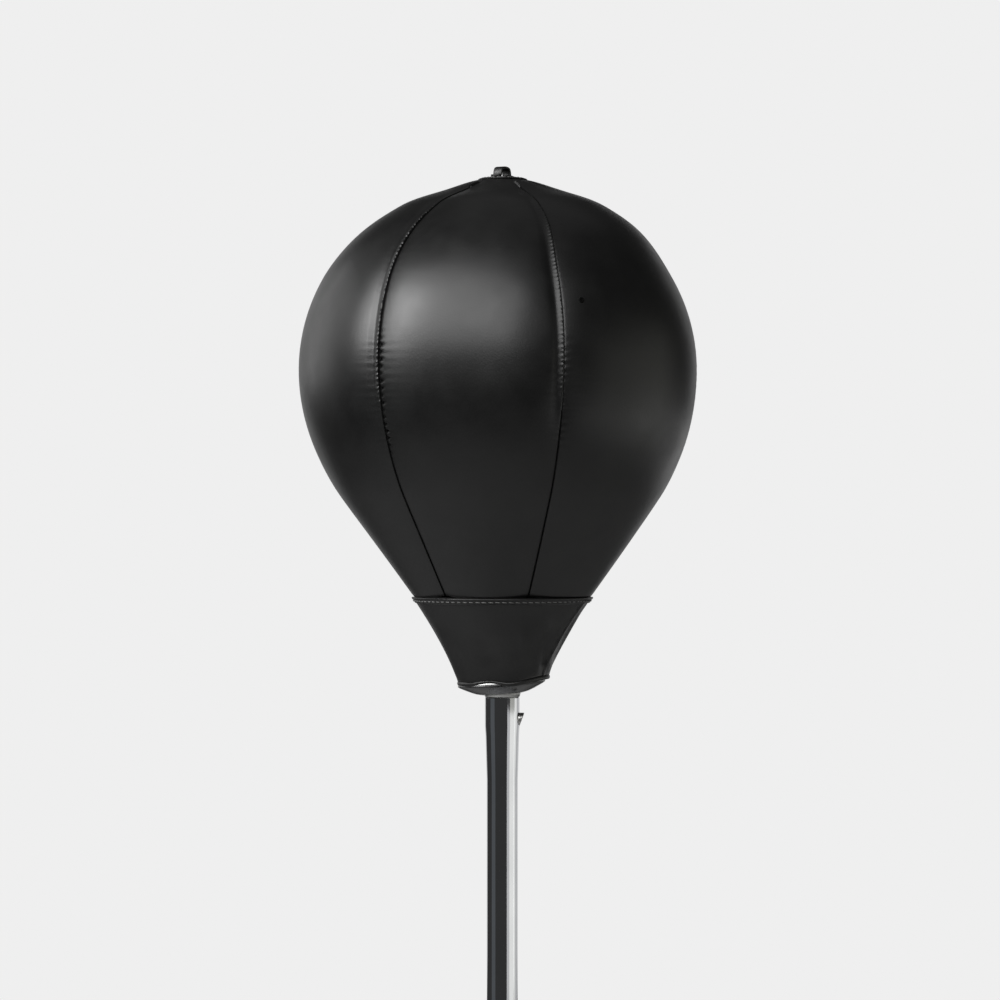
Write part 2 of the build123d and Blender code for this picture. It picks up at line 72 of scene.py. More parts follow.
# degrees that each seam wanders from an even spacing: at the ball's top, half-way down, at its collar
SEAM_DRIFT = (
    (-0.3, -1.85, -3.4),
    (7.6, 8.0, 8.2),
    (5.4, 6.0, 6.5),
    (4.2, 4.6, 4.4),
    (2.6, 3.1, 2.4),
    (0.0, 3.9, -0.4),
)
SHOULDER_DIP = 0.0017  # the cover's top is a little flatter than an ellipse round its patch
SHOULDER_RISE = 0.0009  # and a little fuller further out
CONE_FULLNESS = 0.001  # how far the lower cone stands outside a straight one
SIDE_SWELL = 0.0027  # the cover is a little fuller on its -X side

# --- collar ---
HEM_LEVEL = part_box("collar")[0].z
COLLAR_END_RADIUS = 0.0285
COLLAR_HOLLOW = 0.0021  # how far its sides curve in from a straight cone

# --- camera ---
LENS = 150.0
SENSOR_WIDTH = 36.0
VIEW_WIDTH = 0.6185
VIEW_CENTRE = Vector((-0.0014, 0, 1.2008))


# ---------------------------------------------------------------- mesh helpers


def new_object(name, points, faces):
    mesh = bpy.data.meshes.new(name)
    mesh.from_pydata([tuple(p) for p in points], [], [tuple(f) for f in faces])
    mesh.validate()
    mesh.shade_smooth()
    piece = bpy.data.objects.new(name, mesh)
    bpy.context.scene.collection.objects.link(piece)
    return piece


def grid_faces(rows, columns, around=False):
    """Faces of a grid of points, stored row by row, closed around its columns or not."""
    last = columns if around else columns - 1
    faces = []
    for r in range(rows - 1):
        for c in range(last):
            d = (c + 1) % columns
            low = r * columns
            high = low + columns
            faces.append((low + c, low + d, high + d, high + c))
    return faces


def ring_faces(rows, columns):
    """Faces of a grid of points that is closed both ways."""
    last = (rows - 1) * columns
    faces = grid_faces(rows, columns, around=True)
    return faces + [(last + c, last + (c + 1) % columns, (c + 1) % columns, c) for c in range(columns)]


def rod_faces(rows, columns):
    """Faces of a grid of points that is closed around its columns and capped at both ends."""
    faces = grid_faces(rows, columns, around=True)
    faces.append(tuple(range(columns))[::-1])
    faces.append(tuple((rows - 1) * columns + c for c in range(columns)))
    return faces


def grid_object(name, grid, around=False, flip=False):
    """A mesh from an array of points: rows, columns, xyz."""
    rows, columns = grid.shape[:2]
    faces = grid_faces(rows, columns, around)
    if flip:
        faces = [f[::-1] for f in faces]
    return new_object(name, grid.reshape(-1, 3), faces)


def apply_modifiers(piece):
    bpy.context.view_layer.update()
    result = piece.evaluated_get(bpy.context.evaluated_depsgraph_get())
    piece.data = bpy.data.meshes.new_from_object(result)
    piece.modifiers.clear()
    return piece


def crisp(piece):
    """Keeps corners of the mesh sharp in its shading."""
    piece.data.set_sharp_from_angle(angle=math.radians(40))
    return piece


def thicken(piece, thickness):
    """Makes a sheet a closed shell, with its face side kept where it is."""
    solid = piece.modifiers.new("thickness", "SOLIDIFY")
    solid.thickness = thickness
    solid.offset = -1
    apply_modifiers(piece)
    return crisp(piece)


def lathe(name, outline, steps):
    """A closed ring of (radius, height) points turned about a vertical axis."""
    angles = np.linspace(0, TAU, steps, endpoint=False)
    outline = np.array(outline, float)
    points = np.zeros((steps, len(outline), 3))
    points[..., 0] = np.cos(angles)[:, None] * outline[None, :, 0]
    points[..., 1] = np.sin(angles)[:, None] * outline[None, :, 0]
    points[..., 2] = outline[None, :, 1]
    faces = [(a, d, c, b) for a, b, c, d in ring_faces(steps, len(outline))]
    return new_object(name, points.reshape(-1, 3), faces)


def smooth_step(value, low, high):
    t = np.clip((value - low) / (high - low), 0, 1)
    return t * t * (3 - 2 * t)


def hump(value, low, high):
    """Rises from 0 at low to 1 half-way and back to 0 at high."""
    t = np.clip((value - low) / (high - low), 0, 1)
    return np.sin(math.pi * t) ** 2


def join(name, pieces):
    """Joins meshes into one object."""
    points, faces = [], []
    for piece in pieces:
        first = len(points)
        points += [tuple(v.co) for v in piece.data.vertices]
        faces += [tuple(first + i for i in p.vertices) for p in piece.data.polygons]
        bpy.data.objects.remove(piece)
    return new_object(name, points, faces)


def tube_along(name, points, radius, sides):
    """A round tube along points, with capped ends."""
    points = np.array(points, float)
    ahead = np.roll(points, -1, 0) - np.roll(points, 1, 0)
    ahead[0] = points[1] - points[0]
    ahead[-1] = points[-1] - points[-2]
    ahead /= np.linalg.norm(ahead, axis=1)[:, None]
    side = np.cross(ahead[0], (0, 0, 1.0))
    if np.linalg.norm(side) < 0.1:
        side = np.cross(ahead[0], (1.0, 0, 0))
    rings = []
    for p, a in zip(points, ahead):
        side = side - a * np.dot(side, a)
        side /= np.linalg.norm(side)
        up = np.cross(a, side)
        turn = np.linspace(0, TAU, sides, endpoint=False)[:, None]
        rings.append(p + radius * (np.cos(turn) * side + np.sin(turn) * up))
    grid = np.array(rings)
    return new_object(name, grid.reshape(-1, 3), rod_faces(len(grid), sides))


# ---------------------------------------------------------------- materials


NOISE_ROUGHNESS = 0.55
LEATHER_GRAIN = 0.00006
TEXTURE_LOW, TEXTURE_HIGH = 0.3, 0.7  # the middle range that most of a noise texture's values lie in


class Nodes:
    """A short way to write a material's node tree."""

    def __init__(self, name):
        self.material = bpy.data.materials.new(name)
        self.material.use_nodes = True
        self.tree = self.material.node_tree
        self.shader = self.tree.nodes["Principled BSDF"]
        self.place = self.tree.nodes.new("ShaderNodeTexCoord").outputs["Object"]

    def node(self, kind, **values):
        made = self.tree.nodes.new(kind)
        for key, value in values.items():
            setattr(made, key, value)
        return made

    def link(self, output, target):
        self.tree.links.new(output, target)

    def noise(self, scale, detail, stretch=(1, 1, 1)):
        made = self.node("ShaderNodeTexNoise")
        made.inputs["Scale"].default_value = scale
        made.inputs["Detail"].default_value = detail
        made.inputs["Roughness"].default_value = NOISE_ROUGHNESS
        self.link(self.stretched(stretch), made.inputs["Vector"])
        return made.outputs["Fac"]

    def cells(self, scale):
        made = self.node("ShaderNodeTexVoronoi", feature="SMOOTH_F1")
        made.inputs["Scale"].default_value = scale
        self.link(self.place, made.inputs["Vector"])
        return made.outputs["Distance"]

    def stretched(self, stretch):
        if stretch == (1, 1, 1):
            return self.place
        mapping = self.node("ShaderNodeMapping")
        mapping.inputs["Scale"].default_value = stretch
        self.link(self.place, mapping.inputs["Vector"])
        return mapping.outputs["Vector"]

    def spread(self, value, low, high):
        """Maps a texture's middle range onto the values low to high."""
        made = self.node("ShaderNodeMapRange")
        made.inputs["From Min"].default_value = TEXTURE_LOW
        made.inputs["From Max"].default_value = TEXTURE_HIGH
        made.inputs["To Min"].default_value = low
        made.inputs["To Max"].default_value = high
        self.link(value, made.inputs["Value"])
        return made.outputs["Result"]

    def colours(self, value, dark, light):
        made = self.node("ShaderNodeValToRGB")
        made.color_ramp.elements[0].position = TEXTURE_LOW
        made.color_ramp.elements[1].position = TEXTURE_HIGH
        made.color_ramp.elements[0].color = (*dark, 1)
        made.color_ramp.elements[1].color = (*light, 1)
        self.link(value, made.inputs["Fac"])
        self.link(made.outputs["Color"], self.shader.inputs["Base Color"])

    def bump(self, value, height, strength=1.0, below=None):
        made = self.node("ShaderNodeBump")
        made.inputs["Distance"].default_value = height
        made.inputs["Strength"].default_value = strength
        self.link(value, made.inputs["Height"])
        if below is not None:
            self.link(below, made.inputs["Normal"])
        self.link(made.outputs["Normal"], self.shader.inputs["Normal"])
        return made.outputs["Normal"]

    def set(self, **values):
        for key, value in values.items():
            self.shader.inputs[key.replace("_", " ")].default_value = value

    def roughness(self, value):
        self.link(value, self.shader.inputs["Roughness"])


def leather(name, dark, light, low_gloss, high_gloss):
    """Coated synthetic leather: fine pebbled grain, satin, with slow changes of gloss."""
    m = Nodes(name)
    m.colours(m.noise(38, 6), dark, light)
    m.roughness(m.spread(m.noise(55, 5), low_gloss, high_gloss))
    pebble = m.bump(m.cells(950), LEATHER_GRAIN, 0.5)
    m.bump(m.noise(2600, 3), LEATHER_GRAIN * 0.5, 0.4, pebble)
    m.set(Specular_IOR_Level=0.5, Coat_Weight=0.12, Coat_Roughness=0.3)
    return m.material


def rubber(name, dark, light, gloss=(0.55, 0.7), shine=0.4):
    m = Nodes(name)
    m.colours(m.noise(90, 5), dark, light)
    m.roughness(m.spread(m.noise(300, 4), *gloss))
    m.bump(m.noise(1800, 4), 0.00005, 0.6)
    m.set(Specular_IOR_Level=shine)
    return m.material


def plated(name, dark, light, gloss, scratch=0.000012):
    """Plated or bare metal with fine drawn scratches and a cloudy gloss."""
    m = Nodes(name)
    m.colours(m.noise(25, 5), dark, light)
    m.roughness(m.spread(m.noise(60, 6), *gloss))
    drawn = m.noise(900, 3, stretch=(1, 1, 0.03))
    m.bump(drawn, scratch, 0.35)
    m.set(Metallic=1.0)
    return m.material


def plastic(name, dark, light, gloss, texture, grain):
    """Moulded plastic with an even spark-eroded texture."""
    m = Nodes(name)
    m.colours(m.noise(14, 6), dark, light)
    m.roughness(m.spread(m.noise(40, 6), *gloss))
    coarse = m.bump(m.cells(texture), grain, 0.5)
    m.bump(m.noise(texture * 2.5, 3), grain * 0.5, 0.4, coarse)
    m.set(Specular_IOR_Level=0.45)
    return m.material


def powder_coat(name):
    """Gloss black powder coat with faint orange peel."""
    m = Nodes(name)
    m.colours(m.noise(60, 4), (0.006, 0.006, 0.007), (0.012, 0.012, 0.013))
    m.roughness(m.spread(m.noise(120, 4), 0.16, 0.26))
    m.bump(m.noise(700, 2), 0.00004, 0.4)
    m.set(Coat_Weight=0.5, Coat_Roughness=0.08)
    return m.material


def thread(name):
    """Twisted bonded polyester thread."""
    m = Nodes(name)
    m.colours(m.noise(1500, 3), (0.06, 0.06, 0.06), (0.16, 0.16, 0.155))
    m.roughness(m.spread(m.noise(900, 3), 0.45, 0.65))
    m.bump(m.noise(5000, 2), 0.00005, 0.8)
    m.set(Sheen_Weight=0.3, Sheen_Roughness=0.4)
    return m.material


COVER = leather("cover_leather", (0.0022, 0.0022, 0.0023), (0.0046, 0.0047, 0.0045), 0.35, 0.43)
TRIM = leather("trim_leather", (0.0028, 0.0028, 0.0029), (0.006, 0.006, 0.0058), 0.4, 0.5)
BLADDER = rubber("bladder_rubber", (0.03, 0.026, 0.022), (0.05, 0.045, 0.038))
RUBBER = rubber("black_rubber", (0.009, 0.009, 0.009), (0.018, 0.018, 0.018))
# The valve's rubber is painted near-black, far darker than the black rubber elsewhere. This is painted
# shade standing in for the shade of a sunken needle hole, and a low specular level keeps it dark.
VALVE_SHADE_TONES = (0.001, 0.001, 0.001), (0.002, 0.002, 0.002)
VALVE_SHADED_RUBBER = rubber("valve_rubber_painted_shade", *VALVE_SHADE_TONES, (0.75, 0.85), 0.08)
ZINC = plated("zinc_steel", (0.42, 0.43, 0.43), (0.62, 0.62, 0.6), (0.28, 0.42))
SPRING_STEEL = plated("spring_steel", (0.12, 0.12, 0.125), (0.25, 0.25, 0.26), (0.3, 0.45))
CHROME_TONES = (0.72, 0.73, 0.75), (0.8, 0.81, 0.83)
CHROME = plated("chrome_tube", *CHROME_TONES, (0.05, 0.09), 0.000004)
CHROME_LOWER = plated("chrome_tube_lower", *CHROME_TONES, (0.06, 0.1), 0.000004)
PAINT = powder_coat("painted_steel")
NYLON = plastic("nylon", (0.62, 0.61, 0.56), (0.72, 0.71, 0.66), (0.38, 0.5), 1500, 0.00002)
PLASTIC_TONES = (0.011, 0.011, 0.012), (0.019, 0.019, 0.02)
PLASTIC = plastic("moulded_plastic", *PLASTIC_TONES, (0.42, 0.55), 1600, 0.00006)
TANK = plastic("tank_plastic", (0.012, 0.012, 0.013), (0.021, 0.021, 0.022), (0.38, 0.5), 600, 0.00012)
BRASS = plated("insert_brass", (0.6, 0.44, 0.18), (0.75, 0.58, 0.28), (0.25, 0.4))
THREAD = thread("seam_thread")


def paint(piece, material):
    piece.data.materials.clear()
    piece.data.materials.append(material)


def dress(material, *names):
    """Gives CAD nodes that stay as they are a better material."""
    for name in names:
        for place in frame["nodes"][name].material_slots:
            place.material = material


# ---------------------------------------------------------------- ball cover


def ball_profile(rows):
    """Points (radius, height) from the top down to the collar seam, evenly spaced."""
    up = np.linspace(math.pi / 2, 0, 400)
    top = np.stack([BALL_RADIUS * np.cos(up), BALL_LEVEL + BALL_CROWN * np.sin(up)], 1)
    down = np.linspace(0, -CONE_ANGLE, 200)[1:]
    centre = BALL_RADIUS - LOWER_ARC_RADIUS
    side_r = centre + LOWER_ARC_RADIUS * np.cos(down)
    side_z = BALL_LEVEL + LOWER_ARC_RADIUS * np.sin(down)
    drop = side_z[-1] - SEAM_LEVEL
    foot = [side_r[-1] - drop * math.tan(CONE_ANGLE), SEAM_LEVEL]
    line = np.concatenate([top, np.stack([side_r, side_z], 1), [foot]])
    steps = np.linalg.norm(np.diff(line, axis=0), axis=1)
    length = np.concatenate([[0], np.cumsum(steps)])
    even = np.linspace(0, length[-1], rows)
    radius, level = np.interp(even, length, line[:, 0]), np.interp(even, length, line[:, 1])
    upper = level > BALL_LEVEL
    level = level - SHOULDER_DIP * hump(radius, 0.014, 0.066) * upper
    level = level + SHOULDER_RISE * hump(radius, 0.066, 0.112) * upper
    radius = radius + CONE_FULLNESS * smooth_step(BALL_LEVEL - level, 0.052, 0.09)
    return np.stack([radius, level], 1)


def outward_normals(profile):
    ahead = np.gradient(profile, axis=0)
    ahead /= np.linalg.norm(ahead, axis=1)[:, None]
    return np.stack([-ahead[:, 1], ahead[:, 0]], 1)


GORE_ROWS = 430
HALF_COLUMNS = 19
STITCH_PITCH = 0.0044
PUCKER_SHARES = (0.12, 0.5, 0.3, 0.6, 0.25, 1.0)  # how strongly each gore's edge puckers
LIP_SHARES = (0.2, 0.7, 0.6, 0.7, 1.0, 1.0)  # how high the lip stands on each gore's other edge
SEAM_PULLS = (1.0, 0.4, 0.9, 1.0, 0.9, 1.0)  # how deep each seam draws the leather in
LOBE_DEPTH = 0.0021
LOBE_REACH = 0.014
PUCKER_DEPTH = 0.0019
PUCKER_REACH = 0.0036
LIP_HEIGHT = 0.0015
LIP_WIDTH = 0.003
LIP_CREASE = 0.42
VALLEY_DEPTH = 0.0006
GATHER_HEIGHT = 0.00006
GATHER_REACH = 0.0065
GATHER_PITCH = 0.0043
SLOW_GATHER_PITCH = 0.0071
EDGE_ROUNDING = 0.0006
EDGE_REACH = 0.00035
# half-widths of a gore between which the relief along its seams fades in
RELIEF_FADE = (0.003, 0.012)
COVER_THICKNESS = 0.0013
CRACK_GAP = 0.00008
# depths of the points where a gore's edge turns inward, at its seam
WALL_DEPTHS = np.array([-0.0026, -0.0021, -0.0016])
TOP_OPENING = 0.004
PROFILE = ball_profile(GORE_ROWS)
NORMALS = outward_normals(PROFILE)


def seam_angle(number, level):
    """Azimuth of a seam at a level. The sewn seams wander a little from an even spacing."""
    at_top, halfway, at_collar = SEAM_DRIFT[number % GORE_COUNT]
    share = (BALL_TOP - level) / (BALL_TOP - SEAM_LEVEL)
    drift = at_top * (1 - share) * (1 - 2 * share) + halfway * 4 * share * (1 - share)
    drift += at_collar * share * (2 * share - 1)
    return FIRST_SEAM + TAU * number / GORE_COUNT + math.radians(drift)


def side_swell(level):
    """How far the cover stands to -X at a level."""
    t = np.clip((level - SEAM_LEVEL) / (BALL_TOP - SEAM_LEVEL), 0, 1)
    return -SIDE_SWELL * smooth_step(t, 0.04, 0.54) * (1 - smooth_step(t, 0.76, 0.93))


def between(level, start, end):
    """Rises from 0 to 1 through the levels in start, and back to 0 through those in end."""
    return smooth_step(level, *start) * (1 - smooth_step(level, *end))


def pucker_strength(level):
    """Puckers are strongest from the ball's widest part to some way below it."""
    return between(level, (1.222, 1.24), (1.282, 1.308))


def lip_strength(level):
    """The seam's lip stands highest from the ball's widest part up to its shoulder."""
    return between(level, (1.235, 1.28), (1.37, 1.394))


def lobe(distance, half_width):
    """Leather sinks towards both seams, so that each gore bulges."""
    room = smooth_step(half_width, 0.004, 0.02)
    return -LOBE_DEPTH * np.exp(-distance / LOBE_REACH) * room


def rounded_edge(distance):
    return -EDGE_ROUNDING * np.exp(-distance / EDGE_REACH)


def pucker_edge(distance, along, level, jitter):
    """Notches pulled in by the stitches, on the gore's -azimuth edge."""
    phase = (along / STITCH_PITCH) % 1.0
    notch = hump(phase, 0.05, 0.7)
    reach = np.clip(1 - distance / (PUCKER_REACH * jitter), 0, 1)
    return -PUCKER_DEPTH * notch * reach * pucker_strength(level) * jitter


def lip_edge(distance, along, level, jitter):
    """Lip that rises to the seam over its allowance, creased by the stitches, on the +azimuth edge."""
    crease = 1 - LIP_CREASE * hump((along / (STITCH_PITCH * 0.62)) % 1.0, 0.0, 0.6) * jitter
    rise = 1 - smooth_step(distance, 0.0003, LIP_WIDTH)
    valley = hump(distance, 0.0022, 0.0075)
    return (LIP_HEIGHT * rise * crease - VALLEY_DEPTH * valley) * lip_strength(level)


def gathers(distance, along, number):
    """Fine wrinkles that run out from a seam and fade."""
    wave = np.sin(TAU * along / GATHER_PITCH + 2.5 * math.sin(along * 90 + number))
    wave = wave + 0.6 * np.sin(TAU * along / SLOW_GATHER_PITCH + number)
    return GATHER_HEIGHT * wave * np.exp(-distance / GATHER_REACH)


def column_distances(half_width):
    q = np.linspace(0, 1, HALF_COLUMNS)[1:]
    return half_width * (0.92 * q**3 + 0.08 * q)


def gore_row(row, number, randoms):
    """One row of a gore's points, from its -azimuth seam to its +azimuth seam."""
    radius, level = PROFILE[row]
    start, end = seam_angle(number, level), seam_angle(number + 1, level)
    normal = NORMALS[row]
    radius = max(radius, TOP_OPENING)
    along = row * ROW_STEP
    half = radius * (end - start) / 2
    near = column_distances(half)
    distance = np.concatenate([near, near[-2::-1]])
    from_left = np.concatenate([near, 2 * half - near[-2::-1]])
    to_right = 2 * half - from_left
    stitch = int(along / STITCH_PITCH)
    jitter = randoms[stitch % len(randoms)]
    pulls = SEAM_PULLS[number], SEAM_PULLS[(number + 1) % GORE_COUNT]
    pull = np.where(from_left < to_right, *pulls)
    height = pull * lobe(distance, half) + rounded_edge(distance)
    height = height + PUCKER_SHARES[number] * pucker_edge(from_left, along, level, jitter)
    height = height + LIP_SHARES[number] * lip_edge(to_right, along, level, jitter)
    pulled = pucker_strength(level) + 0.35 * lip_strength(level)
    height = height + pulled * gathers(np.minimum(from_left, to_right), along, number)
    fade = smooth_step(half, *RELIEF_FADE)
    height = height * fade
    wall_depth = WALL_DEPTHS * max(fade, 0.15)
    gap = min(CRACK_GAP, half * 0.1)
    wall_place = np.array([gap, gap, gap * 1.2])
    places = np.concatenate([wall_place, from_left, 2 * half - wall_place[::-1]])
    heights = np.concatenate([wall_depth, height, wall_depth[::-1]])
    angle = start + places / radius
    r = radius + heights * normal[0]
    z = level + heights * normal[1]
    x = r * np.cos(angle) + side_swell(level)
    y = r * np.sin(angle)
    return np.stack([x, y, z], 1)


ROW_STEP = float(np.linalg.norm(PROFILE[1] - PROFILE[0]))
FOOT_ROUNDING = 0.0005
FOOT_REACH = 0.0006
# how far inward and up from a gore's lower edge its turned-in leather runs
BOTTOM_TURN = [(0.0006, 0.0), (0.0022, 0.0001), (0.0042, 0.0003)]


def gore_panel(number):
    randoms = np.random.RandomState(40 + number).uniform(0.75, 1.15, 120)
    rows = [gore_row(r, number, randoms) for r in range(GORE_ROWS)]
    grid = np.array(rows)
    edge = grid[-1].copy()
    swell = side_swell(SEAM_LEVEL)
    direction = edge.copy()
    direction[:, 0] -= swell
    direction[:, 2] = 0
    direction /= np.linalg.norm(direction, axis=1)[:, None]
    from_foot = np.arange(GORE_ROWS)[::-1] * ROW_STEP
    rounding = np.exp(-from_foot / FOOT_REACH) * FOOT_ROUNDING
    grid -= rounding[:, None, None] * direction[None]
    turned = [grid[-1] - direction * inward + np.array([0, 0, up]) for inward, up in BOTTOM_TURN]
    grid = np.concatenate([grid, np.array(turned)])
    piece = grid_object(f"cover_gore_{number + 1}", grid, flip=True)
    thicken(piece, COVER_THICKNESS)
    paint(piece, COVER)
    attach(piece, "ball")
    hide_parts(f"gore_panel_{number + 1}")


def cover_point(azimuth, level, out):
    """A point at a height over the cover's smooth surface, with the cover's outward direction."""
    row = int(np.argmin(np.abs(PROFILE[:, 1] - level)))
    radius, normal = np.interp(level, PROFILE[::-1, 1], PROFILE[::-1, 0]), NORMALS[row]
    direction = np.array([normal[0] * math.cos(azimuth), normal[0] * math.sin(azimuth), normal[1]])
    point = np.array([radius * math.cos(azimuth) + side_swell(level), radius * math.sin(azimuth), level])
    return point + out * direction, direction


def lean(piece):
    """Moves a ball-shaped piece sideways as the cover's fuller side does."""
    for vertex in piece.data.vertices:
        vertex.co.x += side_swell(vertex.co.z)
    return piece


BLADDER_INSET = 0.0044
BLADDER_WALL = 0.001


def bladder():
    """Rubber bladder inside the cover, down to the seat cup."""
    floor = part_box("bladder")[0].z
    outer = PROFILE - NORMALS * BLADDER_INSET
    inner = PROFILE - NORMALS * (BLADDER_INSET + BLADDER_WALL)
    outer = outer[(outer[:, 1] > floor) & (outer[:, 0] > 0.0005)][::6]
    inner = inner[(inner[:, 1] > floor + BLADDER_WALL) & (inner[:, 0] > 0.0005)][::6]
    top = [(0.0001, outer[0, 1]), *outer, (0.0001, floor)]
    inside = [(0.0001, inner[0, 1]), *inner, (0.0001, floor + BLADDER_WALL)]
    piece = lean(lathe("bladder_rubber_shell", [*top, *inside[::-1]], 72))
    paint(piece, BLADDER)
    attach(piece, "ball")
    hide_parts("bladder")


def stood_at(piece, point, direction):
    """Stands a piece that was made along +Z at a point, facing a direction."""
    facing = Vector(direction).to_track_quat("Z", "Y").to_matrix().to_4x4()
    piece.data.transform(Matrix.Translation(Vector(point)) @ facing)
    return piece


VALVE_AZIMUTH = math.radians(-64.6)
VALVE_LEVEL = BALL_LEVEL + 0.0388
VALVE_RADIUS = 0.0018
NEEDLE_RADIUS = 0.0007


def valve():
    """Rubber needle valve: a low button through the cover, dimpled for the needle. Its near-black colour
    is painted shade, standing in for the shade of a sunken hole.
    """
    point, direction = cover_point(VALVE_AZIMUTH, VALVE_LEVEL, -0.0007)
    outline = [
        (NEEDLE_RADIUS * 0.05, -0.0035),
        (VALVE_RADIUS * 0.8, -0.0035),
        (VALVE_RADIUS, -0.003),
        (VALVE_RADIUS, 0.0001),
        (VALVE_RADIUS * 0.9, 0.0003),
        (VALVE_RADIUS * 0.7, 0.0004),
        (NEEDLE_RADIUS * 1.3, 0.00035),
        (NEEDLE_RADIUS, 0.00015),
        (NEEDLE_RADIUS * 0.05, 0.0001),
    ]
    piece = stood_at(lathe("needle_valve", outline[::-1], 40), point, direction)
    paint(piece, VALVE_SHADED_RUBBER)
    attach(piece, "ball")
    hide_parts("inflation_valve")


# ---------------------------------------------------------------- patch and loop


STITCH_LIFT = 0.0002


def stitches(name, ends, radius=0.00028):
    """Thread stitches between pairs of points. Each dips into the leather at both ends."""
    made = []
    for number, (a, b, out) in enumerate(ends):
        a, b, out = np.array(a), np.array(b), np.array(out)
        shares = (0.0, 0.18, 0.5, 0.82, 1.0)
        heights = (-0.0003, STITCH_LIFT * 0.7, STITCH_LIFT, STITCH_LIFT * 0.7, -0.0003)
        path = [a + (b - a) * s + out * h for s, h in zip(shares, heights)]
        made.append(tube_along(f"{name}_{number}", path, radius, 6))
    piece = join(name, made)
    paint(piece, THREAD)
    return piece


PATCH_THICKNESS = 0.0011
PATCH_STITCH_COUNT = 24


def dome_level(radius):
    """Height of the ball's smooth top at a radius from the pole's axis."""
    return BALL_LEVEL + BALL_CROWN * math.sqrt(1 - (radius / BALL_RADIUS) ** 2)


def patch_point(radius, angle, out):
    level = dome_level(radius)
    uneven = 1 + 0.02 * math.sin(3 * angle + 1) + 0.012 * math.sin(7 * angle)
    slope = radius * BALL_CROWN**2 / (BALL_RADIUS**2 * (level - BALL_LEVEL))
    r = radius * uneven + out * slope
    return [r * math.cos(angle), r * math.sin(angle), level + out]


def top_patch():
    """Round leather patch drawn down over the place where the gores meet."""
    steps = 96
    section = [(0.0002, 0.00005), (0.006, 0.00005), (0.011, 0.00005), (0.0147, 0.00005)]
    section += [(0.01515, 0.00025), (0.0151, 0.0005), (0.0146, 0.0008), (0.0137, 0.0009)]
    section += [(0.0128, 0.0008), (0.0118, 0.00105), (0.009, PATCH_THICKNESS + 0.0001)]
    section += [(0.005, PATCH_THICKNESS), (0.0002, PATCH_THICKNESS)]
    rings = [[patch_point(r, TAU * s / steps, out) for r, out in section] for s in range(steps)]
    points = [p for ring in rings for p in ring]
    piece = new_object("leather_patch", points, [f[::-1] for f in ring_faces(steps, len(section))])
    paint(piece, TRIM)
    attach(piece, "ball")
    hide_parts("top_patch")


def patch_stitches():
    ends = []
    for s in range(PATCH_STITCH_COUNT):
        first, last = TAU * s / PATCH_STITCH_COUNT, TAU * (s + 0.62) / PATCH_STITCH_COUNT
        a, b = patch_point(0.0129, first, 0.0008), patch_point(0.0129, last, 0.0008)
        ends.append((a, b, (0, 0, 1)))
    sewn = stitches("patch_stitches", ends)
    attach(sewn, "ball")


LOOP_AZIMUTH = math.radians(-30)
LOOP_WIDTH = 0.006
LOOP_STRAP = 0.0014


def strap(name, path, width, thickness, corner=0.0005):
    """A flat strap of rounded-rectangle section along a path in the local YZ plane."""
    path = np.array(path, float)
    ahead = np.gradient(path, axis=0)
    ahead /= np.linalg.norm(ahead, axis=1)[:, None]
    out = np.stack([-ahead[:, 1], ahead[:, 0]], 1)
    w, t, k = width / 2, thickness / 2, corner
    ring = [(w, t - k), (w - k * 0.3, t - k * 0.3), (w - k, t)]
    ring += [(-w + k, t), (-w + k * 0.3, t - k * 0.3), (-w, t - k)]
    ring += [(-a, -b) for a, b in ring]
    points = []
    for (y, z), (oy, oz) in zip(path, out):
        points += [(a, y + b * oy, z + b * oz) for a, b in ring]
    return new_object(name, points, rod_faces(len(path), len(ring)))


def smooth_path(corners, count):
    """Points evenly along a line through corners, with the corners rounded off."""
    line = np.array(corners, float)
    for _ in range(3):
        near = line[:-1] * 0.75 + line[1:] * 0.25
        far = line[:-1] * 0.25 + line[1:] * 0.75
        cut = np.stack([near, far], 1).reshape(-1, line.shape[1])
        line = np.concatenate([line[:1], cut, line[-1:]])
    steps = np.linalg.norm(np.diff(line, axis=0), axis=1)
    length = np.concatenate([[0], np.cumsum(steps)])
    even = np.linspace(0, length[-1], count)
    return np.stack([np.interp(even, length, line[:, i]) for i in range(line.shape[1])], 1)


def hanging_loop():
    """Strap bent into a square-shouldered loop, with its ends turned out and sewn down."""
    foot = dome_level(0.008) + PATCH_THICKNESS + 0.0009
    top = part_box("hanging_loop")[1].z - LOOP_STRAP / 2
    side = 0.0057
    corners = [(-side - 0.0032, foot - 0.0002), (-side + 0.0002, foot), (-side, top - 0.0032)]
    corners += [(-side + 0.0012, top - 0.0006), (-0.0018, top), (0.0018, top)]
    corners += [(side - 0.0012, top - 0.0006), (side, top - 0.0032)]
    corners += [(side - 0.0002, foot), (side + 0.0032, foot - 0.0002)]
    piece = strap("strap_loop", smooth_path(corners, 60), LOOP_WIDTH, LOOP_STRAP)
    piece.data.transform(Matrix.Rotation(LOOP_AZIMUTH, 4, "Z"))
    paint(piece, TRIM)
    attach(piece, "ball")
    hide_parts("hanging_loop")


# ---------------------------------------------------------------- collar

COLLAR_TOP_RADIUS = float(PROFILE[-1, 0])
COLLAR_LEATHER = 0.0015
COLLAR_SPLIT = HEM_LEVEL + 0.0295  # where its two halves meet, at the middle of the spring
COLLAR_STEPS = 224
FRONT_PULL = math.radians(252)
WELT_STITCH_COUNT = 84
HEM_RISE = 0.0042  # the collar's lower edge is pulled up on its +X side
HEM_SHIFT = 0.0008  # and stands a little to that side
SIDE_SEAM_TOP = math.radians(-22)
SIDE_SEAM_FOOT = math.radians(-32)


def edge_rise(angle):
    """How far the collar's lower edge stands above its lowest level, around the collar."""
    return HEM_RISE * smooth_step(np.cos(angle), 0.0, 1.0) + 0.0013 * front_pull(angle)


def front_pull(angle):
    """Where the edge is pulled up in front, from 0 to 1."""
    offset = (angle - FRONT_PULL + math.pi) % TAU - math.pi
    return np.exp(-((offset / 0.34) ** 2))


